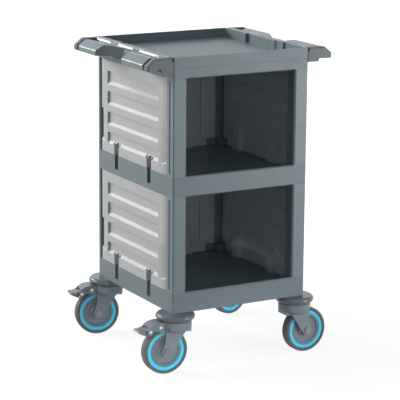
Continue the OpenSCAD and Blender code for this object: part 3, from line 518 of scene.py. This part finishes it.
def studio_white():
    """White where it is seen, with the cart's soft shadow left on it near the cart. All other light meets
    it dark, so that little light comes from below, as in the photograph."""
    f = Finish("studio_white")
    seen = f.background_seen()
    f.feed("Base Color", f.mix(seen, (0.1, 0.1, 0.1, 1), (0.95, 0.95, 0.95, 1)))
    f.feed("Roughness", 0.9)
    f.feed("Specular IOR Level", 0.1)
    white = f.node("ShaderNodeEmission", {}, {"Color": WHITE, "Strength": 1.24}, 0)
    distance = f.node("ShaderNodeVectorMath", {"operation": "LENGTH"}, {0: f.place}, "Value")
    far = distance.clipped(low=0.6, high=1.4)
    lit = Value(f, f.shader.outputs[0])
    blend = f.node("ShaderNodeMixShader", {}, {0: seen * (0.7 + 0.3 * far), 1: lit, 2: white}, 0)
    f.tree.links.new(blend.socket, f.tree.nodes["Material Output"].inputs["Surface"])
    return f.material


def stage_sheet():
    """A floor that curves up into the backdrop behind the cart."""
    profile = [(-FLOOR_REACH, 0.0), (SWEEP_START, 0.0)]
    for step in range(1, SWEEP_STEPS + 1):
        angle = step * math.pi / 2 / SWEEP_STEPS
        profile.append((SWEEP_START + SWEEP_RADIUS * math.sin(angle),
                        SWEEP_RADIUS - SWEEP_RADIUS * math.cos(angle)))
    profile.append((SWEEP_START + SWEEP_RADIUS, BACKDROP_TOP))
    turn = Matrix.Rotation(STAGE_HEADING, 4, "Z")
    bm = bmesh.new()
    left, right = ([bm.verts.new(turn @ Vector((x, y, z - BELOW_TYRES))) for y, z in profile]
                   for x in (-FLOOR_REACH, FLOOR_REACH))
    for k in range(len(profile) - 1):
        bm.faces.new((left[k], right[k], right[k + 1], left[k + 1]))
    mesh = bpy.data.meshes.new("studio_floor")
    bm.to_mesh(mesh)
    bm.free()
    for face in mesh.polygons:
        face.use_smooth = True
    mesh.materials.append(studio_white())
    placed("studio_floor", mesh)


def softbox(name, place, aim, size, watts, colour=(1, 1, 1), spread=180):
    """A rectangular lamp that the camera doesn't see; spread is its beam in degrees."""
    light = bpy.data.lights.new(name, "AREA")
    light.color = colour
    light.shape = "RECTANGLE"
    light.size, light.size_y = size
    light.energy = watts
    light.spread = math.radians(spread)
    lamp = placed(name, light)
    lamp.location = place
    lamp.visible_camera = False
    lamp.rotation_euler = (Vector(aim) - Vector(place)).to_track_quat("-Z", "Y").to_euler()


stage_sheet()
# the key stands below the cart's top, so the tray's walls and rim stay dark
softbox("key_softbox", place=(1.7, -2.2, 0.42), aim=(0.15, 0, 0.35), size=(1.0, 0.6), watts=31)
softbox("fill_softbox", place=(0.05, -3.1, 0.95), aim=(0, 0, 0.5), size=(0.7, 0.7), watts=3.8)
softbox("side_softbox", place=(-3.2, 1.9, 1.7), aim=(0, 0, 0.45), size=(1.8, 1.8), watts=76,
        colour=(1, 0.955, 0.88))
softbox("top_softbox", place=(-0.3, 0.0, 3.4), aim=(-0.3, 0.0, 0.3), size=(2.4, 2.4), watts=16)
# a light behind the cart draws the bright lines along its edges and ledges
softbox("edge_softbox", place=(-1.6, 3.4, 2.2), aim=(-0.1, 0, 0.6), size=(1.0, 0.8), watts=52)
# a narrow beam along the floor lifts the casters and the lowest band
softbox("low_softbox", place=(-1.9, -2.7, 0.1), aim=(-0.05, -0.05, 0.0), size=(0.6, 0.08), watts=0.28,
        spread=9)


def studio_world():
    """White where it is seen, and a faint cool light from all sides."""
    world = bpy.data.worlds.new("studio_world")
    world.use_nodes = True
    world.node_tree.nodes.clear()
    sky = Shading(world.node_tree)
    faint = sky.node("ShaderNodeBackground", {}, {"Color": (0.88, 0.95, 1, 1), "Strength": 0.17}, 0)
    white = sky.node("ShaderNodeBackground", {}, {"Color": WHITE, "Strength": 1.0}, 0)
    blend = sky.node("ShaderNodeMixShader", {}, {0: sky.background_seen(), 1: faint, 2: white}, 0)
    output = sky.tree.nodes.new("ShaderNodeOutputWorld")
    sky.tree.links.new(blend.socket, output.inputs["Surface"])
    return world


bpy.context.scene.world = studio_world()

# the photograph's view: the place is from under the base deck's middle, the angles are in degrees
CAMERA_PLACE = (-2.4432, -4.4037, 1.5662)
CAMERA_DOWN = 12.97
CAMERA_HEADING = -29.02
CAMERA_ROLL = 0.46
LENS_MM = 168.8
SENSOR_MM = 36
SEE_AS_FAR_AS = 60

deck_low, deck_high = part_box("base_deck")
deck_middle = Vector(((deck_low.x + deck_high.x) / 2, 0, 0))
lens = bpy.data.cameras.new("photo_camera")
lens.lens = LENS_MM
lens.sensor_width = SENSOR_MM
lens.clip_end = SEE_AS_FAR_AS
camera = placed("photo_camera", lens)
look = Euler((math.radians(90 - CAMERA_DOWN), 0, math.radians(CAMERA_HEADING)), "XYZ").to_matrix()
look = look @ Matrix.Rotation(math.radians(CAMERA_ROLL), 3, "Z")
camera.matrix_world = Matrix.Translation(Vector(CAMERA_PLACE) + deck_middle) @ look.to_4x4()
bpy.context.scene.camera = camera
bpy.context.scene.view_settings.view_transform = "Standard"
